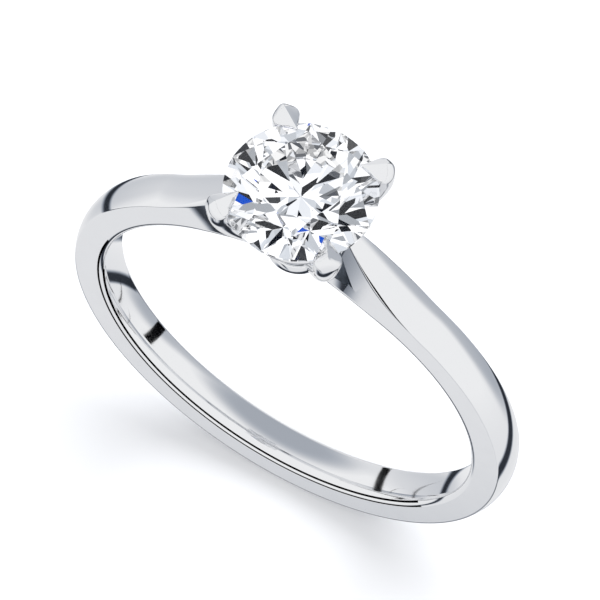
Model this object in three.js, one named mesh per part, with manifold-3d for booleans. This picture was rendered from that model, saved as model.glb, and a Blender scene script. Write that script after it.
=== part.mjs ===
// A four-claw solitaire engagement ring: a court-section band whose V-cut shoulders climb to a
// tulip head that holds a round brilliant diamond.
//
// Millimetres. The finger hole's centre is the origin, its axis runs along Y, and the stone is
// at +Z. Each piece is its own closed solid, and soldered pieces stand SOLDER apart.

import * as THREE from "three";
import { ConvexGeometry } from "three/addons/geometries/ConvexGeometry.js";
import { ParametricGeometry } from "three/addons/geometries/ParametricGeometry.js";
import { mergeVertices } from "three/addons/utils/BufferGeometryUtils.js";
import Module from "manifold-3d";

const wasm = await Module();
wasm.setup();

// ---- Driving dimensions -------------------------------------------------------------------

// Finger hole and band
const HOLE_R = 8.3; // finger hole at mid width, where it is tightest
const COMFORT = 0.2; // how far the hole opens out at the band's two edges
const BAND_W = 1.7; // between the flat side faces
const BAND_T = 1.65; // band thickness at mid width
const BAND_CROWN = 0.25; // rise of the rounded top above its edges
const SEAM_DEG = 45; // solder seam between band and shoulder, above the horizontal

// Shoulders
const RISE_DEG = 52; // where the shoulder starts to leave the band's circle
const RISE_LEAD = 1.2; // how long its curve keeps the band's direction
const RAMP_DEG = 49; // slope at which it arrives at the head
const RAMP_LEAD = 1.2; // how long its curve keeps that slope
const FIN_TIP_W = 0.62; // width of the upper branch where it meets the rail
const FIN_UNDER = 0.22; // how far the branch runs on in under the rail
const FIN_END_H = 0.65; // height of its end face there
const TAPER_LEN = 4.2; // how far back from that tip the sides draw in
const NOTCH_DEG = 71.7; // where the V between the two branches starts
const NOTCH_T = 0.95; // thickness left under the V

// Bridge under the head
const BRIDGE_T = 0.85; // thickness at the middle
const BRIDGE_DEG = 74; // solder seam between shoulder and bridge
const BRIDGE_WAIST = 1.24; // its width at the middle
const PAD_R = 1.27; // round pad that carries the head
const PAD_STAND = 0.05; // how far the pad's top stands above the bridge
const LIGHT_HOLE_R = 0.5; // hole under the stone, through pad and collar

// Head
const COLLAR_R = 1.25; // outside of the ring that the claws stand on
const COLLAR_H = 0.62;
const COLLAR_ROUND = 0.14; // rounding of its edges
const RAIL_R = 2.3; // outside of the gallery rail inside the claws
const RAIL_W = 0.42; // its wall
const RAIL_H = 0.38;
const RAIL_ROOM = 0.27; // height between the rail and the stone's pavilion
const RAIL_BITE = 0.06; // how far the rail is let into the claws
const CLAW_DEGREES = {
  // where each claw stands around the stone: set by hand, so not quite a square
  claw_back_right: 45,
  claw_back_left: 130.5,
  claw_front_left: 224,
  claw_front_right: 318,
};
const CLAW_WALL = 0.72; // claw thickness outside the girdle
const CLAW_NOTCH = 0.2; // how deep the girdle is let into the claw
const CLAW_FOOT_D = 0.62; // claw thickness at the collar
const CLAW_W = 1.12; // claw width at the girdle
const CLAW_FOOT_W = 0.56; // claw width at the collar
const CLAW_FLARE_DEG = 45; // direction in which a claw leaves the collar
const CLAW_FLARE_LEAD = 0.45; // how long it keeps it, as a share of the claw's reach
const CLAW_RISE_LEAD = 0.32; // how long it runs upright at its head, as a share of its reach
const CLAW_SHOULDER = 0.1; // how far the claw runs straight up past the girdle
const CLAW_LAP = 0.62; // how far the tip reaches in over the stone
const CLAW_CREASE = 0.42; // height of the rounded stretch below the filed facets
const CREASE_LEAN = 0.12; // how far the back has leaned in at the crease
const CREASE_W = 0.985; // claw width at the crease
const CLAW_RIDGE = 0.2; // height of the filed ridge above that crease
const RIDGE_LEAN = 0.34; // how far the back has leaned in at the ridge's top
const NIB_T = 0.14; // thickness of the very tip above the stone
const NIB_W = 0.12; // width of the very tip

// Diamond: proportions of a round brilliant
const STONE_D = 6.05;
const TABLE = 0.57; // table width over stone diameter
const CROWN_DEG = 34.5;
const PAVILION_DEG = 40.75;
const STAR_LEN = 0.5; // star facets, share of the way from table to girdle
const LOWER_LEN = 0.77; // lower halves, share of the way from girdle to culet
const GIRDLE_T = 0.16; // girdle where it is thickest
const CULET_ROOM = 1.15; // from the bridge's top up to the culet

// Clearances
const SOLDER = 0.025; // between soldered pieces
const SEAT = 0.02; // between the stone and the metal that holds it

// Steps of the round shapes
const BAND_STEP_DEG = 4;
const ARC_STEPS = 8; // across the band
const RAMP_STEPS = 16;
const CLAW_STEPS = 14;
const CLAW_SIDES = 16;
const RING_SIDES = 36;
const GIRDLE_SIDES = 64;

// ---- Sizes that follow --------------------------------------------------------------------

const rad = THREE.MathUtils.degToRad;
const HALF_W = BAND_W / 2;
const BAND_R = HOLE_R + BAND_T; // top of the band at mid width
const CROWN_R = (HALF_W ** 2 + BAND_CROWN ** 2) / (2 * BAND_CROWN);
const BRIDGE_R = HOLE_R + BRIDGE_T;
const STONE_R = STONE_D / 2;
const CULET_Z = BRIDGE_R + CULET_ROOM;
const GIRDLE_LOW = CULET_Z + STONE_R * Math.tan(rad(PAVILION_DEG));
const GIRDLE_TOP = GIRDLE_LOW + GIRDLE_T;
const TABLE_R = TABLE * STONE_R;
const TABLE_Z = GIRDLE_TOP + (STONE_R - TABLE_R) * Math.tan(rad(CROWN_DEG));
const RAIL_TOP = CULET_Z + (RAIL_R - RAIL_W) * Math.tan(rad(PAVILION_DEG)) - RAIL_ROOM;
const RAIL_LOW = RAIL_TOP - RAIL_H;
const FAR = 3 * (BAND_R + STONE_D); // longer than the whole ring

// ---- Solids -------------------------------------------------------------------------------

// A closed three.js geometry as a solid that can be joined and cut.
function solid(geometry) {
  const bare = geometry.clone();
  bare.deleteAttribute("normal");
  bare.deleteAttribute("uv");
  const merged = mergeVertices(bare, 1e-4);
  const vertProperties = merged.attributes.position.array;
  const triVerts = new Uint32Array(merged.index.array);
  return new wasm.Manifold(new wasm.Mesh({ numProp: 3, vertProperties, triVerts }));
}

function piece(name, body, material) {
  const { vertProperties, triVerts } = body.getMesh();
  const geometry = new THREE.BufferGeometry();
  geometry.setAttribute("position", new THREE.BufferAttribute(vertProperties, 3));
  geometry.setIndex(new THREE.BufferAttribute(triVerts, 1));
  geometry.computeVertexNormals();
  const mesh = new THREE.Mesh(geometry, material);
  mesh.name = name;
  return mesh;
}

// A solid through a row of outlines, each a closed list of the same number of points.
// The first and last outlines are closed by a fan around their middle.
function loft(outlines) {
  const around = outlines[0].length;
  const rows = [outlines[0], ...outlines, outlines.at(-1)];
  const middle = (outline) => {
    const sum = outline.reduce((total, point) => total.add(point), new THREE.Vector3());
    return sum.divideScalar(around);
  };
  const last = rows.length - 1;
  const surface = (u, v, target) => {
    const row = Math.round(v * last);
    const end = row === 0 || row === last;
    target.copy(end ? middle(rows[row]) : rows[row][Math.round((1 - u) * around) % around]);
  };
  return solid(new ParametricGeometry(surface, around, last));
}

// A flat outline in the ring's own plane, X across and Z up, made as thick as wide along Y.
function plate(shape, wide) {
  const geometry = new THREE.ExtrudeGeometry(shape, { depth: wide, bevelEnabled: false });
  geometry.rotateX(Math.PI / 2).translate(0, wide / 2, 0);
  return solid(geometry);
}

// A round solid about Z, from [radius, height] points that start and end on the axis or meet.
// Its flats, not its edges, face the claws and the shoulders.
function turned(profile) {
  const points = profile.map(([r, z]) => new THREE.Vector2(r, z));
  const halfStep = Math.PI / RING_SIDES;
  const geometry = new THREE.LatheGeometry(points, RING_SIDES, halfStep);
  return solid(geometry.rotateX(Math.PI / 2));
}

function drum(radius, low, high) {
  return turned([[0, low], [radius, low], [radius, high], [0, high]]);
}

function polar(radius, degrees, y = 0) {
  return new THREE.Vector3(
    radius * Math.cos(rad(degrees)),
    y,
    radius * Math.sin(rad(degrees)),
  );
}

// ---- Band section -------------------------------------------------------------------------

// Radius of the finger hole at a distance y from mid width: the comfort fit.
const holeAt = (y) => HOLE_R + COMFORT * (y / HALF_W) ** 2;

// Drop of a rounded top of radius CROWN_R at a distance y from mid width.
const crownDrop = (y) => CROWN_R - Math.sqrt(CROWN_R ** 2 - y ** 2);

// One outline in the plane through the finger axis at the given angle: the hole side one way
// across, then the top side back, with the drop that the top has towards its edges.
function bandOutline(degrees, topRadius, halfLow, halfTop, drop = crownDrop) {
  const across = Array.from({ length: ARC_STEPS + 1 }, (_, i) => (2 * i) / ARC_STEPS - 1);
  const low = across.map((f) => polar(holeAt(f * halfLow), degrees, f * halfLow));
  const top = across.map((f) => {
    const y = -f * halfTop;
    return polar(topRadius - drop(y), degrees, y);
  });
  return [...low, ...top];
}

function around(radius, z, degrees) {
  return new THREE.Vector3(radius * Math.cos(rad(degrees)), radius * Math.sin(rad(degrees)), z);
}

function angles(from, to, step) {
  const count = Math.ceil(Math.abs(to - from) / step);
  return Array.from({ length: count + 1 }, (_, i) => from + ((to - from) * i) / count);
}

// Half the solder gap as an angle at the hole's radius.
const SOLDER_DEG = THREE.MathUtils.radToDeg(SOLDER / HOLE_R);

function makeShank() {
  const stations = angles(180 - SEAM_DEG, 360 + SEAM_DEG, BAND_STEP_DEG);
  return loft(stations.map((degrees) => bandOutline(degrees, BAND_R, HALF_W, HALF_W)));
}

// ---- Shoulders ----------------------------------------------------------------------------

// Mid line of the right shoulder's top: it leaves the band's circle and climbs to the rail.
const FIN_TIP = new THREE.Vector3(RAIL_R + SOLDER, 0, RAIL_TOP);
const rampEnd = new THREE.Vector3(-Math.cos(rad(RAMP_DEG)), 0, Math.sin(rad(RAMP_DEG)));
const rise = polar(BAND_R, RISE_DEG);
const ramp = new THREE.CubicBezierCurve3(
  rise,
  rise.clone().add(polar(RISE_LEAD, RISE_DEG + 90)),
  FIN_TIP.clone().addScaledVector(rampEnd, -RAMP_LEAD),
  FIN_TIP,
);

// Half the shoulder's width at a point: full behind TAPER_LEN, then drawn in on a parabola.
const rampDirection = FIN_TIP.clone().sub(rise).normalize();
function halfWidthAt(point) {
  const back = FIN_TIP.clone().sub(point).dot(rampDirection) / TAPER_LEN;
  const ease = 1 - (1 - THREE.MathUtils.clamp(back, 0, 1)) ** 2;
  return THREE.MathUtils.lerp(FIN_TIP_W / 2, HALF_W, ease);
}

function shoulderOutline(top) {
  const degrees = THREE.MathUtils.radToDeg(Math.atan2(top.z, top.x));
  const halfTop = halfWidthAt(top);
  const halfLow = halfWidthAt(polar(HOLE_R, degrees));
  return bandOutline(degrees, top.length(), halfLow, halfTop);
}

// What is sawn out between the two branches, with the bridge's place and the rail's room.
function notchCut() {
  const finEnd = RAIL_R - FIN_UNDER;
  const seam = BRIDGE_DEG - SOLDER_DEG;
  const corners = [
    polar(HOLE_R + NOTCH_T, NOTCH_DEG),
    polar(HOLE_R + NOTCH_T, seam),
    polar(HOLE_R / 2, seam),
    new THREE.Vector3(0, 0, HOLE_R / 2),
    new THREE.Vector3(0, 0, RAIL_TOP),
    new THREE.Vector3(finEnd, 0, RAIL_TOP),
    new THREE.Vector3(finEnd, 0, RAIL_LOW - FIN_END_H),
  ];
  const shape = new THREE.Shape(corners.map((corner) => new THREE.Vector2(corner.x, corner.z)));
  const railRoom = drum(RAIL_R + SOLDER, RAIL_LOW - SOLDER, FAR);
  return plate(shape, 2 * BAND_W).add(railRoom);
}

function makeRightShoulder() {
  const start = SEAM_DEG + SOLDER_DEG;
  const straight = angles(start, RISE_DEG, BAND_STEP_DEG).slice(0, -1);
  const past = FIN_TIP.clone().addScaledVector(rampEnd, 2 * FIN_UNDER);
  const tops = [
    ...straight.map((degrees) => polar(BAND_R, degrees)),
    ...ramp.getPoints(RAMP_STEPS),
    past,
  ];
  return loft(tops.map(shoulderOutline)).subtract(notchCut());
}

// ---- Bridge -------------------------------------------------------------------------------

function makeBridge() {
  const seamHalf = halfWidthAt(polar(HOLE_R, BRIDGE_DEG));
  const outline = (degrees) => {
    const toSeam = (Math.abs(degrees - 90) / (90 - BRIDGE_DEG)) ** 2;
    const half = THREE.MathUtils.lerp(BRIDGE_WAIST / 2, seamHalf, toSeam);
    const top = THREE.MathUtils.lerp(BRIDGE_R, HOLE_R + NOTCH_T, toSeam);
    return bandOutline(degrees, top, half, half, () => 0);
  };
  const arch = loft(angles(BRIDGE_DEG, 180 - BRIDGE_DEG, BAND_STEP_DEG).map(outline));
  const pad = drum(PAD_R, holeAt(PAD_R), BRIDGE_R + PAD_STAND);
  const lightHole = drum(LIGHT_HOLE_R, 0, FAR);
  return arch.add(pad).subtract(lightHole);
}

// ---- Head ---------------------------------------------------------------------------------

// A ring with a wall, a height and rounded edges, standing on the level low.
function roundedRing(outside, wall, low, high, round) {
  const inside = outside - wall;
  const corners = [
    [outside - round, low + round, 270],
    [outside - round, high - round, 0],
    [inside + round, high - round, 90],
    [inside + round, low + round, 180],
  ];
  const steps = 2;
  const profile = corners.flatMap(([r, z, from]) =>
    angles(from, from + 90, 90 / steps).map((degrees) => [
      r + round * Math.cos(rad(degrees)),
      z + round * Math.sin(rad(degrees)),
    ]),
  );
  return turned([...profile, profile[0]]);
}

const COLLAR_LOW = BRIDGE_R + PAD_STAND + SOLDER;
const COLLAR_TOP = COLLAR_LOW + COLLAR_H;

function makeCollar() {
  return roundedRing(COLLAR_R, COLLAR_R - LIGHT_HOLE_R, COLLAR_LOW, COLLAR_TOP, COLLAR_ROUND);
}

function makeRail(grow = 0) {
  const wall = RAIL_W + 2 * grow;
  return roundedRing(RAIL_R + grow, wall, RAIL_LOW - grow, RAIL_TOP + grow, COLLAR_ROUND);
}

// Back line of a claw in its own upright plane: out from the collar, then straight up.
const CLAW_TOP = GIRDLE_TOP + CLAW_SHOULDER;
const clawFoot = new THREE.Vector3(COLLAR_R, 0, COLLAR_LOW);
const clawHead = new THREE.Vector3(STONE_R + CLAW_WALL, 0, CLAW_TOP);
const clawReach = clawFoot.distanceTo(clawHead);
const clawBack = new THREE.CubicBezierCurve3(
  clawFoot,
  clawFoot.clone().add(polar(CLAW_FLARE_LEAD * clawReach, CLAW_FLARE_DEG)),
  clawHead.clone().add(new THREE.Vector3(0, 0, -CLAW_RISE_LEAD * clawReach)),
  clawHead,
);

// Where the rail meets the claw, as a share of the back line, and the thickness that takes.
const railSide = new THREE.Vector3(RAIL_R - RAIL_BITE, 0, (RAIL_TOP + RAIL_LOW) / 2);
const railShare = nearestShare(clawBack, railSide);
const railDepth = clawBack.getPoint(railShare).distanceTo(railSide);

function nearestShare(curve, point) {
  const shares = angles(0, 1, 0.005);
  const distance = (share) => curve.getPoint(share).distanceTo(point);
  return shares.reduce((best, share) => (distance(share) < distance(best) ? share : best));
}

// One outline of the claw's body: an oval, thick enough for the rail and the stone's notch.
function clawOutline(t) {
  const back = clawBack.getPoint(t);
  const along = clawBack.getTangent(t);
  const inward = new THREE.Vector3(-along.z, 0, along.x);
  const toRail = THREE.MathUtils.smoothstep(t, 0, railShare);
  const toHead = THREE.MathUtils.smoothstep(t, railShare, 1);
  const depth =
    THREE.MathUtils.lerp(CLAW_FOOT_D, railDepth, toRail) +
    (CLAW_WALL + CLAW_NOTCH - railDepth) * toHead;
  const width = THREE.MathUtils.lerp(CLAW_FOOT_W, CLAW_W, t);
  return oval(back, back.clone().addScaledVector(inward, depth), width);
}

// An oval from one point to another in the claw's plane, as wide as given along Y.
function oval(outer, inner, width) {
  return Array.from({ length: CLAW_SIDES }, (_, i) => {
    const turn = (2 * Math.PI * i) / CLAW_SIDES;
    const point = outer.clone().lerp(inner, (1 - Math.cos(turn)) / 2);
    return point.setY((-width / 2) * Math.sin(turn));
  });
}

// The tip bends in over the stone: a rounded stretch up to the crease, then two filed facets
// that meet in a ridge and run in to the point that holds the stone. The rounded stretch has
// one outline partway up, whose inner end lies deep in the stone's room and is cut away.
function tipOutlines() {
  const at = (x, z) => new THREE.Vector3(x, 0, z);
  const creaseZ = CLAW_TOP + CLAW_CREASE;
  const nibX = STONE_R - CLAW_LAP;
  const nibZ = GIRDLE_TOP + CLAW_LAP * Math.tan(rad(CROWN_DEG));
  const partway = 0.55;
  const rounding = 1 - Math.sqrt(1 - partway ** 2);
  const halfBack = at(clawHead.x - rounding * CREASE_LEAN, CLAW_TOP + partway * CLAW_CREASE);
  const halfInner = at(nibX + CLAW_LAP / 3, nibZ - CLAW_LAP / 2);
  const halfWidth = CLAW_W - rounding * (CLAW_W - CREASE_W);
  return [
    oval(halfBack, halfInner, halfWidth),
    oval(at(clawHead.x - CREASE_LEAN, creaseZ), at(nibX, nibZ), CREASE_W),
    oval(at(clawHead.x - RIDGE_LEAN, creaseZ + CLAW_RIDGE), at(nibX, nibZ + NIB_T), NIB_W),
  ];
}

// The room that the stone needs: its profile, spun round and opened by the seat clearance.
function stoneRoom() {
  const starR = starTipRadius();
  const wide = STONE_R + SEAT;
  return turned([
    [0, CULET_Z - 2 * SEAT],
    [(1 - LOWER_LEN) * STONE_R, lowerPointZ() - 2 * SEAT],
    [wide, GIRDLE_LOW - SEAT],
    [wide, GIRDLE_TOP + SEAT],
    [starR, starTipZ() + 2 * SEAT],
    [TABLE_R, TABLE_Z + 2 * SEAT],
    [0, TABLE_Z + 2 * SEAT],
  ]);
}

function makeClaw(degrees) {
  const stations = Array.from({ length: CLAW_STEPS + 1 }, (_, i) => i / CLAW_STEPS);
  const body = loft([...stations.map(clawOutline), ...tipOutlines()]);
  const collarRoom = drum(COLLAR_R + SOLDER, HOLE_R, RAIL_LOW);
  const bridgeRoom = drum(STONE_R, HOLE_R, COLLAR_LOW);
  return body
    .subtract(collarRoom)
    .subtract(bridgeRoom)
    .subtract(makeRail(SOLDER))
    .subtract(stoneRoom())
    .rotate([0, 0, degrees]);
}

// ---- Diamond ------------------------------------------------------------------------------

const EIGHTH = 45;
const HALF_EIGHTH = EIGHTH / 2;
const cosHalf = Math.cos(rad(HALF_EIGHTH));
const crownSlope = Math.tan(rad(CROWN_DEG));
const pavilionSlope = Math.tan(rad(PAVILION_DEG));

// The point where a star facet meets two kites, and where lower halves meet two mains.
function starTipRadius() {
  return THREE.MathUtils.lerp(TABLE_R * cosHalf, STONE_R, STAR_LEN);
}
function starTipZ() {
  return GIRDLE_TOP + (STONE_R - starTipRadius() * cosHalf) * crownSlope;
}
function lowerPointZ() {
  return GIRDLE_LOW - (STONE_R - (1 - LOWER_LEN) * STONE_R * cosHalf) * pavilionSlope;
}

// The stone is the hull of its facets' corners. Each half facet ends on the round girdle in a
// shallow scallop, so the girdle is thickest under the kites and thinnest between them.
function makeDiamond() {
  const eighths = angles(0, 360 - EIGHTH, EIGHTH);
  const quarter = HALF_EIGHTH / 2;
  const chord = Math.cos(rad(quarter));
  const starR = starTipRadius();
  const lowerR = (1 - LOWER_LEN) * STONE_R;
  const upperSlope = (starTipZ() - GIRDLE_TOP) / ((STONE_R - starR) * chord);
  const lowerSlope = (GIRDLE_LOW - lowerPointZ()) / ((STONE_R - lowerR) * chord);
  const ring = (r, z, offset) => eighths.map((degrees) => around(r, z, degrees + offset));
  const girdle = angles(0, 360 - 360 / GIRDLE_SIDES, 360 / GIRDLE_SIDES).flatMap((degrees) => {
    const fromFacet = (degrees % HALF_EIGHTH) - quarter;
    const scallop = STONE_R * (Math.cos(rad(fromFacet)) - chord);
    return [
      around(STONE_R, GIRDLE_TOP - scallop * upperSlope, degrees),
      around(STONE_R, GIRDLE_LOW + scallop * lowerSlope, degrees),
    ];
  });
  const corners = [
    ...ring(TABLE_R, TABLE_Z, 0),
    ...ring(starR, starTipZ(), HALF_EIGHTH),
    ...girdle,
    ...ring(lowerR, lowerPointZ(), HALF_EIGHTH),
    new THREE.Vector3(0, 0, CULET_Z),
  ];
  return solid(new ConvexGeometry(corners));
}

// ---- The ring -----------------------------------------------------------------------------

const platinum = new THREE.MeshStandardMaterial({
  color: 0xdcdde1,
  metalness: 1,
  roughness: 0.08,
});
const diamond = new THREE.MeshStandardMaterial({
  color: 0xf6f8fb,
  metalness: 0,
  roughness: 0.02,
});

const ring = new THREE.Group();
const rightShoulder = makeRightShoulder();

ring.add(piece("shank", makeShank(), platinum));
ring.add(piece("right_shoulder", rightShoulder, platinum));
ring.add(piece("left_shoulder", rightShoulder.rotate([0, 0, 180]), platinum));
ring.add(piece("bridge", makeBridge(), platinum));
ring.add(piece("base_collar", makeCollar(), platinum));
ring.add(piece("gallery_rail", makeRail(), platinum));

for (const [name, degrees] of Object.entries(CLAW_DEGREES)) {
  ring.add(piece(name, makeClaw(degrees), platinum));
}
ring.add(piece("diamond", makeDiamond(), diamond));

export default ring;
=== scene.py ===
# %% [markdown]
# # A four-claw diamond ring in polished platinum
# The ring is built around a fixed frame that already holds every part at its true size. Each cell
# below makes one part of the real ring, or one finish, and says why it is made that way.
# The frame is in metres: the finger hole's centre is the origin and the stone is at +Z.

# %% Load the fixed frame
import math

import bmesh
import bpy
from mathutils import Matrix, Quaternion, Vector


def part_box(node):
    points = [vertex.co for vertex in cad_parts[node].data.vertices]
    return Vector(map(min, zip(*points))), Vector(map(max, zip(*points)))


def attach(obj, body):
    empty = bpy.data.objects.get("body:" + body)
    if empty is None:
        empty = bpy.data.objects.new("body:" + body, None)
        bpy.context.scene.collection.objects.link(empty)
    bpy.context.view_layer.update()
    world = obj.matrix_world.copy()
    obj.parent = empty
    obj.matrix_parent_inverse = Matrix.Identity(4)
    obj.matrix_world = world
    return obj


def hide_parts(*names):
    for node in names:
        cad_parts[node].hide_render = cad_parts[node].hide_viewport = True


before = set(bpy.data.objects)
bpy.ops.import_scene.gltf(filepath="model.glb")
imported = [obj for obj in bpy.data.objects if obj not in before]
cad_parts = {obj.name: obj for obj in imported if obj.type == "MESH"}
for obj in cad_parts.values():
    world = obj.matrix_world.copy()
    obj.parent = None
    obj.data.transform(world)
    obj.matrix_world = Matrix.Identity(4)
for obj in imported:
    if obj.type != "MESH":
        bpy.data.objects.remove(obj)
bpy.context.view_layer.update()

print("parts in the frame:", ", ".join(sorted(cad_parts)))

# %% [markdown]
# ## Sizes
# A goldsmith works in millimetres, so this script does too, and one value turns them to metres.
# The sizes that the frame can give are read from it. The others are the bench sizes of this ring.

# %% Driving sizes, in millimetres
MM = 0.001


def frame_box(node):
    low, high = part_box(node)
    return low / MM, high / MM


shank_low, shank_high = frame_box("shank")
stone_low, stone_high = frame_box("diamond")
rail_low, rail_high = frame_box("gallery_rail")
collar_low, collar_high = frame_box("base_collar")

BAND_R = -shank_low.z  # top of the band, from the finger axis
HALF_W = shank_high.y  # half the band's width
HOLE_R = 8.3  # finger hole at mid width
COMFORT = 0.2  # how far the hole opens towards the band's edges
CROWN_R = 1.57  # radius of the band's rounded top
HOLE_ROUND = 0.22  # rounding between the hole and the side faces
EDGE_ROUND = 0.06  # rounding between the top and the side faces
BOLD_ROUND = 0.32  # the same where the shoulders climb

SEAM_DEG = 45  # solder seam between band and shoulder
RISE_DEG = 52  # where the shoulder leaves the band's circle
RAMP_DEG = 49  # slope at which it reaches the rail
LEAD = 1.2  # how long its curve keeps each end's direction
NOTCH_DEG = 71.7  # where the V between its two branches starts
NOTCH_R = HOLE_R + 0.95  # top of the lower branch
BRIDGE_DEG = 74  # solder seam between shoulder and bridge
TAPER_LEN = 4.2  # how far back from its tip the shoulder draws in
FIN_HALF = 0.31  # half the width of its tip

STONE_R = stone_high.x
CULET_Z = stone_low.z
RAIL_R = 2.3
RAIL_TOP = rail_high.z
FIN_TIP = Vector((RAIL_R + 0.025, 0, RAIL_TOP))
V_TOP = Vector((RAIL_R - 0.22, 0, rail_low.z - 0.65))  # upper end of the V's steep side

print(f"band radius {BAND_R:.3f}, half width {HALF_W:.3f}, stone radius {STONE_R:.3f}")

# %% [markdown]
# ## Small helpers
# Operators act on whatever is selected, and the frame's parts come in selected. So one helper
# clears the selection and picks a single object, and another opens it for editing.

# %% Pick, edit and finish an object


def pick(obj):
    if bpy.context.object and bpy.context.object.mode == "EDIT":
        bpy.ops.object.mode_set(mode="OBJECT")
    bpy.ops.object.select_all(action="DESELECT")
    obj.select_set(True)
    bpy.context.view_layer.objects.active = obj


def edit(obj):
    pick(obj)
    bpy.ops.object.mode_set(mode="EDIT")
    return bmesh.from_edit_mesh(obj.data)


def apply_modifier(obj, kind, **settings):
    pick(obj)
    modifier = obj.modifiers.new(kind.title(), kind)
    for name, value in settings.items():
        setattr(modifier, name, value)
    bpy.ops.object.modifier_apply(modifier=modifier.name)


def smooth(obj, sharp_degrees=30):
    """Merges doubles, turns the faces outward and leaves only the true edges sharp."""
    edit(obj)
    bpy.ops.mesh.select_all(action="SELECT")
    bpy.ops.mesh.remove_doubles(threshold=0.0004 * MM)
    bpy.ops.mesh.normals_make_consistent(inside=False)
    pick(obj)
    bpy.ops.object.shade_smooth_by_angle(angle=math.radians(sharp_degrees))
    print(f"{obj.name}: {len(obj.data.polygons)} faces")
    return obj


def polar(radius, degrees, y=0.0):
    turn = math.radians(degrees)
    return Vector((radius * math.cos(turn), y, radius * math.sin(turn)))


def lerp(a, b, t):
    return a + (b - a) * t


# %% [markdown]
# ## How the band and the shoulders are drawn
# A ring blank is drawn wire: one section that runs along a path. Here it is the same. A filled
# circle is laid on the first section, and its face is extruded from station to station. Every
# point remembers its place in the section, so each new face can be laid on the next section.

# %% A solid drawn through a row of sections


def start_section(name, section):
    bpy.ops.object.select_all(action="DESELECT")
    bpy.ops.mesh.primitive_circle_add(
        vertices=len(section), radius=HALF_W * MM, fill_type="NGON"
    )
    piece = bpy.context.object
    piece.name = name
    shape = edit(piece)
    place = shape.verts.layers.int.new("place")
    shape.verts.ensure_lookup_table()
    for number, point in enumerate(section):
        shape.verts[number].co = point * MM
        shape.verts[number][place] = number
    bmesh.update_edit_mesh(piece.data)
    return piece


def draw_on(piece, sections):
    """Extrudes the selected end face once for each section and lays it there."""
    for section in sections:
        bpy.ops.mesh.extrude_region_move()
        shape = bmesh.from_edit_mesh(piece.data)
        place = shape.verts.layers.int["place"]
        for vert in shape.verts:
            if vert.select:
                vert.co = section[vert[place]] * MM
        bmesh.update_edit_mesh(piece.data)


# %% [markdown]
# ## The band's section
# Inside, a comfort fit: the hole opens a little towards both edges. Outside, a low rounded top.
# The sides are flat. Polishing rounds every edge a little, and those small roundings catch the
# light as fine lines, so they are real shape here and not a shading trick.

# %% The section's outline

ARC = 14  # steps across half of the hole side and half of the top
FILLET = 5  # steps round an edge
SIDE_STOPS = (0.04, 0.35, 0.65, 0.96)  # points up a side face, close to each rounding
SIDE = len(SIDE_STOPS) + 1
SPLIT = ARC + FILLET + 3  # the point on the side where the shoulder's branches part


def hole_at(y):
    return HOLE_R + COMFORT * (y / HALF_W) ** 2


def crown_drop(y):
    return CROWN_R - math.sqrt(CROWN_R**2 - y**2)


def fillet(corner, before, after, radius):
    """Points of the arc that rounds a corner between two unit directions away from it."""
    opening = math.acos(max(-1, min(1, before.dot(after))))
    reach = radius / math.tan(opening / 2)
    middle = corner + (before + after).normalized() * radius / math.sin(opening / 2)
    start = corner + before * reach - middle
    end = corner + after * reach - middle
    turn = math.pi - opening
    points = []
    for step in range(FILLET + 1):
        t = step / FILLET
        share = (math.sin((1 - t) * turn) * start + math.sin(t * turn) * end) / math.sin(turn)
        points.append(middle + share)
    return points


def half_section(half_low, half_top, top, edge_round):
    """(y, r) points from the middle of the hole side, out and up to the middle of the top."""
    low_corner = Vector((half_low, hole_at(half_low)))
    top_corner = Vector((half_top, top - crown_drop(half_top)))
    up = (top_corner - low_corner).normalized()
    hole_slope = 2 * COMFORT * half_low / HALF_W**2
    inward = Vector((-1, -hole_slope)).normalized()
    crown_slope = half_top / math.sqrt(CROWN_R**2 - half_top**2)
    back = Vector((-1, crown_slope)).normalized()
    low_round = fillet(low_corner, inward, up, HOLE_ROUND)
    top_round = fillet(top_corner, -up, back, edge_round)
    low_arc = [low_round[0].x * step / ARC for step in range(ARC)]
    top_arc = [top_round[-1].x * (1 - step / ARC) for step in range(1, ARC + 1)]
    side = [low_round[-1].lerp(top_round[0], stop) for stop in SIDE_STOPS]
    return (
        [Vector((y, hole_at(y))) for y in low_arc]
        + low_round
        + side
        + top_round
        + [Vector((y, top - crown_drop(y))) for y in top_arc]
    )


def section(degrees, half_low, half_top, top, edge_round=EDGE_ROUND, split_r=None):
    right = half_section(half_low, half_top, top, edge_round)
    if split_r:
        below, above = right[SPLIT - 1], right[SPLIT + 1]
        right[SPLIT] = below.lerp(above, (split_r - below.y) / (above.y - below.y))
    left = [Vector((-point.x, point.y)) for point in right[-2:0:-1]]
    return [polar(point.y, degrees, point.x) for point in right + left]


print("points round a section:", len(section(0, HALF_W, HALF_W, BAND_R)))

# %% [markdown]
# ## The shank
# The lower three quarters of the band keep one section on one circle. Spinning that section
# about the finger axis gives an exact circle, which a polished surface needs: any flat shows at
# once as a break in the reflections. The first and last steps are very short, so the surface
# runs on into the shoulders at the solder seams without a break.

# %% Shank
SEAM_STEP = 0.1  # degrees of the short steps beside a seam
SHANK_STEPS = 400


def make_shank():
    start = 180 - SEAM_DEG
    sweep = 180 + 2 * SEAM_DEG
    piece = start_section("shank_band", section(start, HALF_W, HALF_W, BAND_R))
    for degrees, steps in ((SEAM_STEP, 1), (sweep - 2 * SEAM_STEP, SHANK_STEPS), (SEAM_STEP, 1)):
        bpy.ops.mesh.spin(
            steps=steps, angle=math.radians(degrees), center=(0, 0, 0), axis=(0, 1, 0)
        )
    return smooth(piece)


shank = make_shank()

# %% [markdown]
# ## The shoulders
# A shoulder leaves the band's circle, climbs to the head and narrows on the way. A saw cut
# parts it into two branches: the upper one carries the rail under the stone, the lower one goes
# on as the arch over the finger. It is drawn like the band. At the saw cut the end face is
# parted in two, and each half is drawn on by itself.

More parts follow.
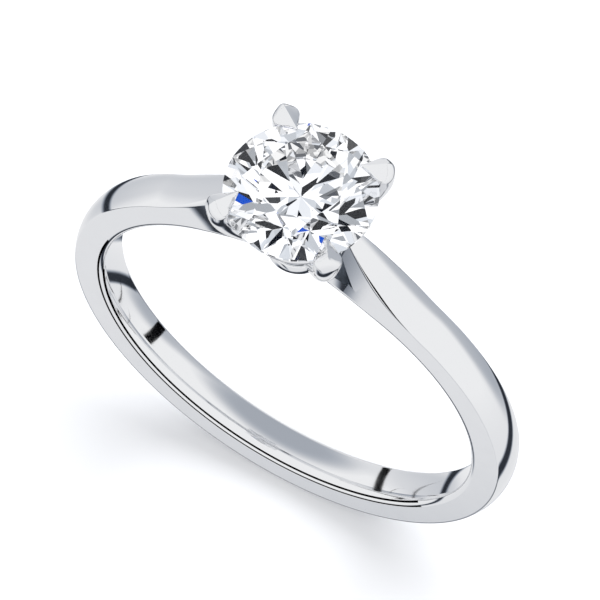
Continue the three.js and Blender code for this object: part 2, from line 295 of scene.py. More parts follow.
# %% Shoulder path and width
PLAIN_STEP = 0.7  # degrees between sections on the band's circle
CLIMB_STEP = 0.35  # the same where the shoulder climbs
BOLD_LATE = 1.6  # moves the boldest rounding on towards the rail
CRISP_SHARE = 0.5  # how much of the rounding is gone at the rail

rise = polar(BAND_R, RISE_DEG)
ramp_end = Vector((-math.cos(math.radians(RAMP_DEG)), 0, math.sin(math.radians(RAMP_DEG))))
RAMP = (
    rise,
    rise + polar(LEAD, RISE_DEG + 90),
    FIN_TIP - LEAD * ramp_end,
    FIN_TIP,
)
ramp_direction = (FIN_TIP - rise).normalized()
TIP_DEG = math.degrees(math.atan2(FIN_TIP.z, FIN_TIP.x))


def bezier(points, t):
    a, b, c, d = points
    s = 1 - t
    return a * s**3 + b * 3 * s * s * t + c * 3 * s * t * t + d * t**3


def degrees_of(point):
    return math.degrees(math.atan2(point.z, point.x))


def top_at(degrees):
    """Radius of the shoulder's top line at an angle, found by halving."""
    if degrees <= RISE_DEG:
        return BAND_R
    low, high = 0.0, 1.0
    for _ in range(40):
        middle = (low + high) / 2
        if degrees_of(bezier(RAMP, middle)) < degrees:
            low = middle
        else:
            high = middle
    return bezier(RAMP, low).length


def half_at(point):
    back = (FIN_TIP - point).dot(ramp_direction) / TAPER_LEN
    ease = 1 - (1 - max(0, min(1, back))) ** 2
    return lerp(FIN_HALF, HALF_W, ease)


def halves_at(degrees):
    return half_at(polar(HOLE_R, degrees)), half_at(polar(top_at(degrees), degrees))


def edge_round_at(degrees):
    """The top edges are broken more boldly where the shoulder climbs, and crisp at the rail."""
    climb = max(0, min(1, (degrees - RISE_DEG) / (TIP_DEG - RISE_DEG)))
    bold = math.sin(math.pi * climb**BOLD_LATE) ** 2
    return lerp(EDGE_ROUND, BOLD_ROUND, bold) * (1 - CRISP_SHARE * climb)


def shoulder_section(degrees):
    half_low, half_top = halves_at(degrees)
    split_r = NOTCH_R if degrees >= NOTCH_DEG else None
    return section(
        degrees, half_low, half_top, top_at(degrees), edge_round_at(degrees), split_r
    )


def steps_between(start, end, step):
    count = math.ceil((end - start) / step)
    return [start + (end - start) * n / count for n in range(1, count + 1)]


# %% [markdown]
# The upper branch has a flat underside along the steep side of the V. The lower branch is flat
# on top. Both keep the side faces of the whole shoulder, so no step shows where they part.

# %% Both branches

COUNT = 2 * (2 * ARC + 2 * FILLET + SIDE + 1) - 2
SPLIT_LEFT = COUNT - SPLIT
BUTT_DEG = 0.4  # the upper branch's butt end, past the top of the V
BUTT_RISE = 0.3


def v_side_at(degrees):
    """Radius of the V's steep side, a straight line from its point up to V_TOP."""
    start = polar(NOTCH_R, NOTCH_DEG)
    run = V_TOP - start
    out = polar(1, degrees)
    return (start.x * run.z - start.z * run.x) / (out.x * run.z - out.z * run.x)


def side_half(degrees, radius):
    half_low, half_top = halves_at(degrees)
    top = top_at(degrees) - crown_drop(half_top)
    hole = hole_at(half_low)
    return lerp(half_low, half_top, (radius - hole) / (top - hole))


def fin_section(degrees, top, low):
    """The whole section's points, with the two split points laid on the underside."""
    at = min(degrees, TIP_DEG)
    half_low = side_half(at, low)
    points = section(degrees, *halves_at(at), top, edge_round_at(at))
    for number, side in ((SPLIT, 1), (SPLIT_LEFT, -1)):
        points[number] = polar(low, degrees, side * half_low)
    return points


def part_end_face(piece):
    """Parts the selected end face with an edge between the two split points."""
    shape = bmesh.from_edit_mesh(piece.data)
    place = shape.verts.layers.int["place"]
    ends = [vert for vert in shape.verts if vert.select and vert[place] in (SPLIT, SPLIT_LEFT)]
    bpy.ops.mesh.select_all(action="DESELECT")
    bpy.ops.mesh.select_mode(type="VERT")
    for vert in ends:
        vert.select = True
    bmesh.update_edit_mesh(piece.data)
    bpy.ops.mesh.vert_connect()
    bpy.ops.mesh.select_mode(type="FACE")


def select_end(piece, above):
    """Selects the half of the parted end face above or below the split."""
    bpy.ops.mesh.select_all(action="DESELECT")
    shape = bmesh.from_edit_mesh(piece.data)
    ends = sorted(shape.faces, key=lambda face: -len(face.verts))[:3]
    here = polar(1, NOTCH_DEG + 90)
    parted = [face for face in ends if abs(face.calc_center_median().dot(here)) < 0.01 * MM]
    parted.sort(key=lambda face: face.calc_center_median().length)
    parted[-1 if above else 0].select = True
    bmesh.update_edit_mesh(piece.data)


def make_right_shoulder():
    stops = [SEAM_DEG + SEAM_STEP]
    stops += steps_between(stops[-1], RISE_DEG, PLAIN_STEP)
    stops += steps_between(RISE_DEG, NOTCH_DEG, CLIMB_STEP)
    piece = start_section("shoulder_right", shoulder_section(SEAM_DEG))
    draw_on(piece, [shoulder_section(degrees) for degrees in stops])
    part_end_face(piece)
    select_end(piece, above=True)
    fin_stops = steps_between(NOTCH_DEG, TIP_DEG, CLIMB_STEP)
    fins = [fin_section(degrees, top_at(degrees), v_side_at(degrees)) for degrees in fin_stops]
    v_top_degrees = degrees_of(V_TOP)
    butt = ((v_top_degrees, V_TOP.length), (v_top_degrees + BUTT_DEG, V_TOP.length + BUTT_RISE))
    for degrees, low in butt:
        flat_top = RAIL_TOP / math.sin(math.radians(degrees))
        fins.append(fin_section(degrees, flat_top, low))
    draw_on(piece, fins)
    select_end(piece, above=False)
    arch_stops = steps_between(NOTCH_DEG, BRIDGE_DEG, CLIMB_STEP)
    draw_on(piece, [shoulder_section(degrees) for degrees in arch_stops])
    return smooth(piece)


right_shoulder = make_right_shoulder()


def turned_copy(piece, name, degrees):
    """A copy with its own mesh, turned about Z, with the turn applied."""
    copy = piece.copy()
    copy.data = piece.data.copy()
    copy.name = name
    bpy.context.scene.collection.objects.link(copy)
    pick(copy)
    copy.rotation_euler.z = math.radians(degrees)
    bpy.ops.object.transform_apply(location=False, rotation=True, scale=False)
    return copy


left_shoulder = turned_copy(right_shoulder, "shoulder_left", 180)

# %% [markdown]
# ## The bridge
# Between the shoulders an arch closes the finger hole and carries the head on a round pad. The
# arch is drawn from seam to seam, the pad is a short turned disc with a broken rim, and the
# two are joined. The hole under the stone lets in light and lets a cleaning brush through.

# %% Bridge
PAD_R = 1.27
PAD_ROUND = 0.06
PAD_SINK = 0.9  # where on its radius the pad meets the hole
LIGHT_HOLE_R = 0.5
BRIDGE_R = HOLE_R + 0.85
WAIST = 0.62  # half width of the arch's middle
ARCH_STEP = 0.5  # degrees between its sections
ACROSS = 4  # steps across half of its flat top
PAD_TOP = collar_low.z


def bridge_section(degrees):
    to_seam = abs(degrees - 90) / (90 - BRIDGE_DEG)
    seam_low = half_at(polar(HOLE_R, BRIDGE_DEG))
    seam_top = side_half(BRIDGE_DEG, NOTCH_R)
    half_low = lerp(WAIST, seam_low, to_seam**2)
    half_top = lerp(WAIST, seam_top, to_seam**2)
    top = lerp(BRIDGE_R, NOTCH_R, to_seam**2)
    right = half_section(half_low, half_low, BAND_R, EDGE_ROUND)[: ARC + FILLET + 1]
    up = [right[-1].lerp(Vector((half_top, top)), step / SIDE) for step in range(1, SIDE + 1)]
    across = [Vector((half_top * (1 - step / ACROSS), top)) for step in range(1, ACROSS + 1)]
    right = right + up + across
    left = [Vector((-point.x, point.y)) for point in right[-2:0:-1]]
    return [polar(point.y, degrees, point.x) for point in right + left]


def add_drum(name, radius, low, high, sides=128):
    bpy.ops.object.select_all(action="DESELECT")
    bpy.ops.mesh.primitive_cylinder_add(
        vertices=sides,
        radius=radius * MM,
        depth=(high - low) * MM,
        location=(0, 0, (high + low) / 2 * MM),
    )
    drum = bpy.context.object
    drum.name = name
    bpy.ops.object.transform_apply(location=True, rotation=False, scale=False)
    return drum


def make_bridge():
    start, end = BRIDGE_DEG, 180 - BRIDGE_DEG
    piece = start_section("bridge_arch", bridge_section(start))
    stops = [start + SEAM_STEP]
    stops += steps_between(stops[-1], end - SEAM_STEP, ARCH_STEP) + [end]
    draw_on(piece, [bridge_section(degrees) for degrees in stops])
    smooth(piece)
    pad = add_drum("pad", PAD_R, hole_at(PAD_R * PAD_SINK), PAD_TOP)
    apply_modifier(pad, "BEVEL", width=PAD_ROUND * MM, segments=4, limit_method="ANGLE")
    apply_modifier(piece, "BOOLEAN", object=pad, operation="UNION", solver="EXACT")
    hole = add_drum("light_hole", LIGHT_HOLE_R, HOLE_R - 1, PAD_TOP + 1)
    apply_modifier(piece, "BOOLEAN", object=hole, operation="DIFFERENCE", solver="EXACT")
    for tool in (pad, hole):
        bpy.data.objects.remove(tool)
    return smooth(piece)


bridge = make_bridge()

# %% [markdown]
# ## The two turned rings of the head
# The claws stand on a small collar and are tied together higher up by the gallery rail. Both
# are rings of wire with soft edges. Each starts as one flat section beside the axis, its corners
# are rounded with a vertex bevel, and it is spun once round.

# %% Base collar and gallery rail
COLLAR_R = 1.25
COLLAR_ROUND = 0.14
RAIL_WALL = 0.42
RAIL_ROUND = 0.15
RING_STEPS = 160


def make_ring(name, inside, outside, low, high, rounding):
    bpy.ops.object.select_all(action="DESELECT")
    bpy.ops.mesh.primitive_plane_add(size=MM)
    piece = bpy.context.object
    piece.name = name
    shape = edit(piece)
    for vert in shape.verts:
        across = inside if vert.co.x < 0 else outside
        height = low if vert.co.y < 0 else high
        vert.co = Vector((across, 0, height)) * MM
    bmesh.update_edit_mesh(piece.data)
    bpy.ops.mesh.select_all(action="SELECT")
    bpy.ops.mesh.bevel(
        offset=rounding * MM, segments=8, affect="VERTICES", offset_type="OFFSET"
    )
    bpy.ops.mesh.delete(type="ONLY_FACE")
    bpy.ops.mesh.select_all(action="SELECT")
    bpy.ops.mesh.spin(steps=RING_STEPS, angle=2 * math.pi, center=(0, 0, 0), axis=(0, 0, 1))
    return smooth(piece)


collar = make_ring(
    "collar_ring", LIGHT_HOLE_R, COLLAR_R, collar_low.z, collar_high.z, COLLAR_ROUND
)
rail = make_ring(
    "rail_ring", RAIL_R - RAIL_WALL, RAIL_R, rail_low.z, rail_high.z, RAIL_ROUND
)

# %% [markdown]
# ## The claws
# Each claw is a bar that swells as it climbs, bends up beside the stone and is pushed over its
# edge. The setter then files two flats on its top, which meet in a ridge that points at the
# middle of the stone. So the bar is drawn through oval sections, the two flats are cut with
# two bisects, and the stone's own room is cut out of it, so that metal and stone only touch.

# %% The claw's bar and tip
GIRDLE_TOP = 13.067
CROWN_SLOPE = math.tan(math.radians(34.5))
CLAW_TOP = GIRDLE_TOP + 0.1
CLAW_WALL = 0.72
CLAW_HEAD_D = CLAW_WALL + 0.2
CLAW_FOOT_D = 0.62
CLAW_W = 1.12
CLAW_FOOT_W = 0.56
CLAW_SIDES = 48
CREST = Vector((3.405, 0, 13.78))  # highest point, where the filed ridge starts
NIB = Vector((2.405, 0, 13.633))  # where the ridge ends over the stone
FILE_DEG = 43.5  # how steeply the filed flats fall to each side
RIDGE_SOFT = 0.05  # width of the polished ridge
NIB_POINT = 0.75  # how much the claw is drawn to a point over the stone
NIB_GATHER = 2.5  # how soon the tip is drawn in over the stone
BODY_STEPS = 40
TIP_STEPS = 18
TIP_SWEEP = 82  # degrees of the tip's rounding that are drawn
SWELL = 1.6  # how early the bar thickens on its way up

claw_foot = Vector((COLLAR_R, 0, collar_low.z))
claw_head = Vector((STONE_R + CLAW_WALL, 0, CLAW_TOP))
claw_reach = (claw_head - claw_foot).length
CLAW_BACK = (
    claw_foot,
    claw_foot + polar(0.45 * claw_reach, 45),
    claw_head - Vector((0, 0, 0.32 * claw_reach)),
    claw_head,
)


def oval(outer, inner, width, pointed=0.0):
    """One section of the claw, an oval that can be drawn to a point on its inner side."""
    points = []
    for number in range(CLAW_SIDES):
        turn = 2 * math.pi * number / CLAW_SIDES
        inward = (1 - math.cos(turn)) / 2
        point = outer.lerp(inner, inward)
        point.y = width / 2 * math.sin(turn) * (1 - pointed * max(0, inward - 0.4) / 0.6)
        points.append(point)
    return points


def claw_body():
    ovals = []
    for step in range(BODY_STEPS + 1):
        t = step / BODY_STEPS
        back = bezier(CLAW_BACK, t)
        ahead = bezier(CLAW_BACK, min(1, t + 0.001)) - bezier(CLAW_BACK, max(0, t - 0.001))
        inward = Vector((-ahead.z, 0, ahead.x)).normalized()
        depth = lerp(CLAW_FOOT_D, CLAW_HEAD_D, 1 - (1 - t) ** SWELL)
        ovals.append(oval(back, back + inward * depth, lerp(CLAW_FOOT_W, CLAW_W, t)))
    return ovals


def claw_tip():
    """The bar's rounded end, whose inner side reaches in over the stone's edge."""
    ovals = []
    for step in range(1, TIP_STEPS + 1):
        turn = math.radians(TIP_SWEEP) * step / TIP_STEPS
        up = math.sin(turn)
        outer_x = lerp(CREST.x, claw_head.x, math.cos(turn))
        gather = min(1, NIB_GATHER * up)
        inner_x = lerp(claw_head.x - CLAW_HEAD_D, NIB.x - 0.04, gather)
        height = lerp(CLAW_TOP, CREST.z + 0.007, up)
        outer, inner = Vector((outer_x, 0, height)), Vector((inner_x, 0, height))
        width = CLAW_W * math.sin(math.pi / 2 * (1 - up))
        ovals.append(oval(outer, inner, width, NIB_POINT * gather))
    return ovals


print("sections of a claw:", len(claw_body() + claw_tip()))

# %% [markdown]
# The setter's file leaves two flats that fall away from a ridge. A bisect cuts each of them, as
# the file does, and only the ridge between them is rounded. A hair-fine crease is left where a
# flat meets the bar, and it takes the darker material as painted shade.

# %% File the tip and mark its edges
CREASE = 0.028


def flat_direction(side):
    """The way one filed flat faces: up, and out to its side."""
    ridge = (NIB - CREST).normalized()
    across = Vector((0, side, 0))
    level = Vector((-ridge.z, 0, ridge.x))
    level = level if level.z > 0 else -level
    fall = math.radians(FILE_DEG)
    return across * math.sin(fall) + level * math.cos(fall)


def file_flats(piece):
    """Cuts both flats, then rounds the ridge between them a little, as polishing does."""
    for side in (1, -1):
        edit(piece)
        bpy.ops.mesh.select_all(action="SELECT")
        bpy.ops.mesh.bisect(
            plane_co=CREST * MM,
            plane_no=flat_direction(side),
            use_fill=True,
            clear_outer=True,
            threshold=0.0001 * MM,
        )
    smooth(piece)
    shape = edit(piece)
    bpy.ops.mesh.select_all(action="DESELECT")
    bpy.ops.mesh.select_mode(type="EDGE")
    ridge = 0
    for line in shape.edges:
        if len(line.link_faces) == 2:
            a, b = (face.normal for face in line.link_faces)
            sides = sorted((a.y, b.y))
            if sides[0] < -0.6 and sides[1] > 0.6 and min(a.z, b.z) > 0.6:
                line.select = True
                ridge += 1
    bmesh.update_edit_mesh(piece.data)
    print("ridge edges:", ridge)
    bpy.ops.mesh.bevel(offset=RIDGE_SOFT * MM, segments=3, affect="EDGES")
    bpy.ops.mesh.select_mode(type="FACE")
    pick(piece)


def mark_creases(piece):
    """Opens a hair-fine crease round the filed flats and gives it painted shade, the darker
    material.
    """
    shape = edit(piece)
    bpy.ops.mesh.select_all(action="DESELECT")
    bpy.ops.mesh.select_mode(type="EDGE")
    flats = [flat_direction(side) for side in (1, -1)]
    count = 0
    for line in shape.edges:
        if len(line.link_faces) != 2:
            continue
        filed = [max(face.normal.dot(flat) for flat in flats) > 0.9998 for face in line.link_faces]
        middle = (line.verts[0].co + line.verts[1].co) / 2 / MM
        on_ridge = abs(middle.y) < 1.5 * RIDGE_SOFT and middle.x < CREST.x - 0.03
        if filed[0] != filed[1] and not on_ridge:
            line.select = True
            count += 1
    bmesh.update_edit_mesh(piece.data)
    print("crease edges:", count)
    bpy.ops.mesh.bevel(offset=CREASE * MM, segments=1, affect="EDGES", clamp_overlap=True)
    shape = bmesh.from_edit_mesh(piece.data)
    # painted shade: the new crease faces take the darker second material
    for face in shape.faces:
        if face.select:
            face.material_index = 1
    bmesh.update_edit_mesh(piece.data)
    bpy.ops.mesh.select_mode(type="FACE")
    pick(piece)


print("crease width in mm:", CREASE)

# %% [markdown]
# One blank is made and copied four times. Each tip is turned a little about its own axis, since
# no two hand-filed claws point quite alike. Then the stone's own room is cut out of the claw, and
# the claw is set round the head at its angle.

# %% Fit the four claws
STONE_ROOM = 0.015  # how far the metal stays off the stone
GIRDLE_H = 0.16
CROWN_IN = 1.2  # how far in over the crown the room reaches
TURN_LOW, TURN_HIGH = 12.5, 13.15  # heights between which the tip's turn grows
TURN_X = claw_head.x - 0.42  # the axis that it turns about
CLAWS = {  # the claw's angle round the head, and its tip's own turn
    "claw_back_right": (45, -15),
    "claw_back_left": (130.5, 18),
    "claw_front_left": (224, 16),
    "claw_front_right": (318, -13),
}


def stone_room():
    """The stone's profile, opened a touch and spun about its axis."""
    wide = STONE_R + STONE_ROOM
    seat_top = GIRDLE_TOP + STONE_ROOM
    crown_top = seat_top + CROWN_IN * CROWN_SLOPE
    profile = (
        (0, CULET_Z - STONE_ROOM),
        (wide, GIRDLE_TOP - GIRDLE_H - STONE_ROOM),
        (wide, seat_top),
        (wide - CROWN_IN, crown_top),
        (0, crown_top),
    )
    bpy.ops.object.select_all(action="DESELECT")
    bpy.ops.mesh.primitive_circle_add(vertices=len(profile), radius=MM, fill_type="NGON")
    tool = bpy.context.object
    shape = edit(tool)
    shape.verts.ensure_lookup_table()
    for vert, (across, height) in zip(shape.verts, profile):
        vert.co = Vector((across, 0, height)) * MM
    bmesh.update_edit_mesh(tool.data)
    bpy.ops.mesh.delete(type="ONLY_FACE")
    bpy.ops.mesh.select_all(action="SELECT")
    bpy.ops.mesh.spin(steps=180, angle=2 * math.pi, center=(0, 0, 0), axis=(0, 0, 1))
    return smooth(tool)


def turn_tip(piece, degrees):
    """Turns the claw's end about its own upright axis, easing in below the stone's edge."""
    shape = edit(piece)
    for vert in shape.verts:
        ease = max(0, min(1, (vert.co.z / MM - TURN_LOW) / (TURN_HIGH - TURN_LOW)))
        turn = math.radians(degrees) * ease * ease * (3 - 2 * ease)
        off = vert.co - Vector((TURN_X * MM, 0, 0))
        vert.co.x = TURN_X * MM + off.x * math.cos(turn) - off.y * math.sin(turn)
        vert.co.y = off.x * math.sin(turn) + off.y * math.cos(turn)
    bmesh.update_edit_mesh(piece.data)
    pick(piece)


def make_claw_blank():
    ovals = claw_body() + claw_tip()
    piece = start_section("claw", ovals[0])
    draw_on(piece, ovals[1:])
    smooth(piece)
    file_flats(piece)
    mark_creases(piece)
    return piece


def fit_claw(node, degrees, tip_turn):
    """One claw from the blank: its tip turned, cut to the stone, set round the head."""
    piece = turned_copy(claw_blank, node.replace("claw", "prong"), 0)
    turn_tip(piece, tip_turn)
    room = stone_room()
    apply_modifier(piece, "BOOLEAN", object=room, operation="DIFFERENCE", solver="EXACT")
    bpy.data.objects.remove(room)
    smooth(piece)
    pick(piece)
    piece.rotation_euler.z = math.radians(degrees)
    bpy.ops.object.transform_apply(location=False, rotation=True, scale=False)
    return piece


claw_blank = make_claw_blank()
claws = {node: fit_claw(node, *turns) for node, turns in CLAWS.items()}
bpy.data.objects.remove(claw_blank)

# %% [markdown]
# ## Finishes
# Colours are picked as screen values, so one function turns them into the linear values that
# light needs. One small function adds a node with its settings and links.

# %% Colour and node helpers


def colour(hex_value):
    parts = [int(hex_value[i : i + 2], 16) / 255 for i in (1, 3, 5)]
    linear = [c / 12.92 if c <= 0.04045 else ((c + 0.055) / 1.055) ** 2.4 for c in parts]
    return (*linear, 1)


def node(tree, kind, inputs=None, **settings):
    made = tree.nodes.new(kind)
    for name, value in settings.items():
        setattr(made, name, value)
    for name, value in (inputs or {}).items():
        if isinstance(value, bpy.types.NodeSocket):
            tree.links.new(value, made.inputs[name])
        else:
            made.inputs[name].default_value = value
    return made


def new_material(name):
    material = bpy.data.materials.new(name)
    material.use_nodes = True
    material.node_tree.nodes.clear()
    return material, material.node_tree


# %% [markdown]
# ## Platinum, polished on a felt wheel
# Polished platinum is a cool light grey mirror. The wheel leaves hair-fine lines that the eye
# doesn't see one by one, but which soften the reflections unevenly. Noise about 0.6 mm wide
# changes the roughness a little, and a much finer one gives a surface that isn't dead flat.

# %% Polished platinum


def polished_platinum():
    material, tree = new_material("platinum_felt_polished")
    place = node(tree, "ShaderNodeTexCoord")
    broad = node(
        tree,
        "ShaderNodeTexNoise",
        {"Vector": place.outputs["Object"], "Scale": 1 / (0.6 * MM), "Detail": 3.0},
    )
    rough = node(
        tree,
        "ShaderNodeMapRange",
        {"Value": broad.outputs["Fac"], "To Min": 0.035, "To Max": 0.075},
    )
    fine = node(
        tree,
        "ShaderNodeTexNoise",
        {"Vector": place.outputs["Object"], "Scale": 1 / (0.08 * MM), "Detail": 2.0},
    )
    bump = node(
        tree,
        "ShaderNodeBump",
        {"Height": fine.outputs["Fac"], "Strength": 0.02, "Distance": 0.002 * MM},
    )
    metal = node(
        tree,
        "ShaderNodeBsdfPrincipled",
        {
            "Base Color": colour("#ebecee"),
            "Metallic": 1.0,
            "Roughness": rough.outputs["Result"],
            "Normal": bump.outputs["Normal"],
        },
    )
    node(tree, "ShaderNodeOutputMaterial", {"Surface": metal.outputs["BSDF"]})
    return material


platinum = polished_platinum()
print("finish:", platinum.name)

# %% [markdown]
# ## Platinum inside the saw cut, darkened as painted shade
# No wheel reaches into the V between the branches. It keeps the fine satiny grain of the saw
# and the needle file. Its plain dark grey is painted shade for the shade in the V, and the
# arch's top and the claws' creases take it too.

# %% Satin platinum with painted shade


def shaded_satin_platinum():
    material, tree = new_material("platinum_needle_filed_satin_painted_shade")
    place = node(tree, "ShaderNodeTexCoord")
    marks = node(
        tree,
        "ShaderNodeTexNoise",
        {"Vector": place.outputs["Object"], "Scale": 1 / (0.05 * MM), "Detail": 3.0},
    )
    tone = node(tree, "ShaderNodeValToRGB", {"Fac": marks.outputs["Fac"]})
    # painted shade: these dark greys stand for shade, and the noise only varies them at random
    tone.color_ramp.elements[0].color = colour("#6c737d")
    tone.color_ramp.elements[1].color = colour("#858c95")
    metal = node(
        tree,
        "ShaderNodeBsdfPrincipled",
        {"Base Color": tone.outputs["Color"], "Metallic": 1.0, "Roughness": 0.42},
    )
    node(tree, "ShaderNodeOutputMaterial", {"Surface": metal.outputs["BSDF"]})
    return material


satin_shade = shaded_satin_platinum()
print("finish:", satin_shade.name)

# %% [markdown]
# ## Diamond, cut and polished
# A diamond bends light more than any other clear stone, with an index of 2.417, so most light
# that enters the crown comes back out of it. The facets are mirror flat, so the roughness is
# zero. The frame's stone already has every facet, so it keeps its shape and only gets its
# finish. Real stones have a trace of body colour, drawn here as a very faint cloud. A renderer
# cuts light off after some bounces and would show black there, so a glow takes its place.

# %% Diamond
DEEP_BOUNCES = 6  # light this deep in the stone ends in a painted glow, in bright and grey shards


def brilliant_diamond():
    material, tree = new_material("diamond_cut_and_polished")
    place = node(tree, "ShaderNodeTexCoord")
    cloud = node(
        tree,
        "ShaderNodeTexNoise",
        {"Vector": place.outputs["Object"], "Scale": 1 / (2.5 * MM), "Detail": 1.0},
    )
    tint = node(tree, "ShaderNodeValToRGB", {"Fac": cloud.outputs["Fac"]})
    tint.color_ramp.elements[0].color = colour("#fbfcff")
    tint.color_ramp.elements[1].color = colour("#ffffff")
    stone = node(
        tree,
        "ShaderNodeBsdfPrincipled",
        {
            "Base Color": tint.outputs["Color"],
            "Metallic": 0.0,
            "Roughness": 0.0,
            "IOR": 2.417,
            "Transmission Weight": 1.0,
            "Specular Tint": colour("#3c3d40"),
        },
    )
    # painted glints: the deep glow is patchy, in small shards from dark grey to white
    shards = node(
        tree,
        "ShaderNodeTexVoronoi",
        {"Vector": place.outputs["Object"], "Scale": 1 / (0.45 * MM), "Randomness": 1.0},
    )
    shard = node(tree, "ShaderNodeSeparateColor", {"Color": shards.outputs["Color"]})
    shine = node(tree, "ShaderNodeValToRGB", {"Fac": shard.outputs["Red"]})
    shine.color_ramp.elements[0].color = colour("#474c54")
    shine.color_ramp.elements[1].color = colour("#ffffff")
    shine.color_ramp.elements[1].position = 0.8
    glow = node(tree, "ShaderNodeEmission", {"Color": shine.outputs["Color"], "Strength": 0.95})
    paths = node(tree, "ShaderNodeLightPath")
    deep = node(
        tree,
        "ShaderNodeMath",
        {0: paths.outputs["Ray Depth"], 1: DEEP_BOUNCES - 0.5},
        operation="GREATER_THAN",
    )
    whole = node(tree, "ShaderNodeMixShader", {"Fac": deep.outputs[0]})
    tree.links.new(stone.outputs["BSDF"], whole.inputs[1])
    tree.links.new(glow.outputs["Emission"], whole.inputs[2])
    node(tree, "ShaderNodeOutputMaterial", {"Surface": whole.outputs["Shader"]})
    return material


diamond = brilliant_diamond()
print("finish:", diamond.name)

# %% [markdown]
# ## Put the pieces in place
# Every piece takes its finish and rides with the ring, and the part of the frame that it stands
# for is hidden. The stone is the frame's own part, so only its material changes.

# %% Finish, ride and replace
pieces = {
    "shank": shank,
    "right_shoulder": right_shoulder,
    "left_shoulder": left_shoulder,
    "bridge": bridge,
    "base_collar": collar,
    "gallery_rail": rail,
    **claws,
}
for name, piece in pieces.items():
    piece.data.materials.append(platinum)
    piece.data.materials.append(satin_shade)
    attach(piece, "root")
    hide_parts(name)


def in_the_cut(face):
    """True for the faces inside the V: past its point, and between its two sides."""
    middle = face.center / MM
    flat = Vector((abs(middle.x), 0, middle.z))
    at = degrees_of(flat)
    inside = NOTCH_R - 0.02 < flat.length < v_side_at(min(at, 85)) + 0.05
    return at > NOTCH_DEG and inside and abs(face.normal.y) < 0.5


def on_the_arch(face):
    """True for the arch's top between its seams, outside the pad."""
    middle = face.center / MM
    flat = Vector((middle.x, 0, middle.z))
    clear = math.hypot(middle.x, middle.y) > PAD_R + 0.02
    return clear and flat.length > BRIDGE_R - 0.03 and abs(face.normal.y) < 0.3


# painted shade: faces in the V and on the arch's top take the darker second material
for piece, in_satin_shade in (
    (right_shoulder, in_the_cut),
    (left_shoulder, in_the_cut),
    (bridge, on_the_arch),
):
    cut = [face for face in piece.data.polygons if in_satin_shade(face)]
    for face in cut:
        face.material_index = 1
    print(piece.name, "faces in the cut:", len(cut))
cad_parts["diamond"].material_slots[0].material = diamond
print("pieces:", len(pieces), "and the stone")

# %% [markdown]
# ## Camera
# A long lens from well back keeps the ring's circle true. The camera looks down on the stone
# from the front and a little from the right.

# %% Camera
AIM = Vector((-0.757, 1.614, 0.961))  # the point it looks at, in millimetres
VIEW_AZIMUTH = 28.42
VIEW_ELEVATION = 61.63
ROLL = 1.92
DISTANCE = 350
LENS = 528.5


def direction(azimuth, elevation):
    """Azimuth 0 is the front, -Y, and 90 is +X."""
    turn, lift = math.radians(azimuth), math.radians(elevation)
    return Vector(
        (math.sin(turn) * math.cos(lift), -math.cos(turn) * math.cos(lift), math.sin(lift))
    )


def make_camera():
    data = bpy.data.cameras.new("camera")
    data.lens = LENS
    data.sensor_width = 36
    data.clip_start = 0.01
    data.clip_end = 10
    camera = bpy.data.objects.new("camera", data)
    bpy.context.scene.collection.objects.link(camera)
    out = direction(VIEW_AZIMUTH, VIEW_ELEVATION)
    camera.location = (AIM + out * DISTANCE) * MM
    level = out.to_track_quat("Z", "Y")
    camera.rotation_euler = (level @ Quaternion((0, 0, 1), math.radians(ROLL))).to_euler()
    bpy.context.scene.camera = camera
    return camera


camera = make_camera()
print("camera at", [round(value, 4) for value in camera.location])

# %% [markdown]
# ## Floor and light
# A pale matt floor carries the shadow. Neither the polished metal nor the stone sees it.

# %% Floor


def make_floor():
    material, tree = new_material("floor_matt_white_acrylic")
    place = node(tree, "ShaderNodeTexCoord")
    grain = node(
        tree,
        "ShaderNodeTexNoise",
        {"Vector": place.outputs["Object"], "Scale": 1 / (4 * MM), "Detail": 2.0},
    )
    tone = node(tree, "ShaderNodeValToRGB", {"Fac": grain.outputs["Fac"]})
    tone.color_ramp.elements[0].color = colour("#f4f5f8")
    tone.color_ramp.elements[1].color = colour("#f8f9fb")
    paint = node(
        tree,
        "ShaderNodeBsdfPrincipled",
        {"Base Color": tone.outputs["Color"], "Roughness": 0.9, "Specular IOR Level": 0.0},
    )
    node(tree, "ShaderNodeOutputMaterial", {"Surface": paint.outputs["BSDF"]})
    bpy.ops.object.select_all(action="DESELECT")
    bpy.ops.mesh.primitive_plane_add(size=1.2, location=(0, 0, shank_low.z * MM))
    floor = bpy.context.object
    floor.name = "floor"
    floor.data.materials.append(material)
    floor.visible_glossy = False
    floor.visible_transmission = False
    return floor


floor = make_floor()
print("floor at", round(shank_low.z, 3), "mm")

# %% [markdown]
# ## The room
# A mirror shows only what is around it, so a white room wraps the ring, with a few grey areas
# and dark strips, as a jeweller's tent has slits: without them polished metal looks like white
# plastic. The stone sees another room, with bright lamps and dark gaps, which make its fire.

# %% World
ROOM_LIGHT = (-0.9, 0.4, 0.83, 1.10)  # from below to above, and the brightness at each
SHADES = (  # compass angle, height, where the grey starts and is full, and its depth
    (60, -14, 0.80, 0.98, 0.45),
    (154, -14, 0.75, 0.97, 0.28),
    (95, 42, 0.55, 0.95, 0.57),
)
STRIP_RIGHT = (Vector((0.019, -0.302, 0.953)), -0.80, 0.035, 0.045)
STRIP_LEFT = (Vector((0.463, 0.047, 0.885)), -0.834, 0.012, 0.03)
STRIP_DEPTH = 0.96
ROOM_BLACK = (0.004, 0.006, 0.010, 1)
ROOM_STOPS = (  # brightness, and the cool grey it is seen as
    (0.2, (0.17, 0.19, 0.23, 1)),
    (0.5, (0.46, 0.49, 0.54, 1)),
    (0.8, (0.855, 0.86, 0.875, 1)),
)
FIRE_TURN = (7.3, 5.2, 1.9)  # moves the pattern of lamps
FIRE_SCALE = 8.0
FIRE_BLUE = (0.01, 0.09, 0.60, 1)
BLUE_SHARE = 0.028  # share of the lamps that are blue
FIRE_STOPS = ((0.22, 0.04), (0.32, 0.34), (0.50, 0.76))


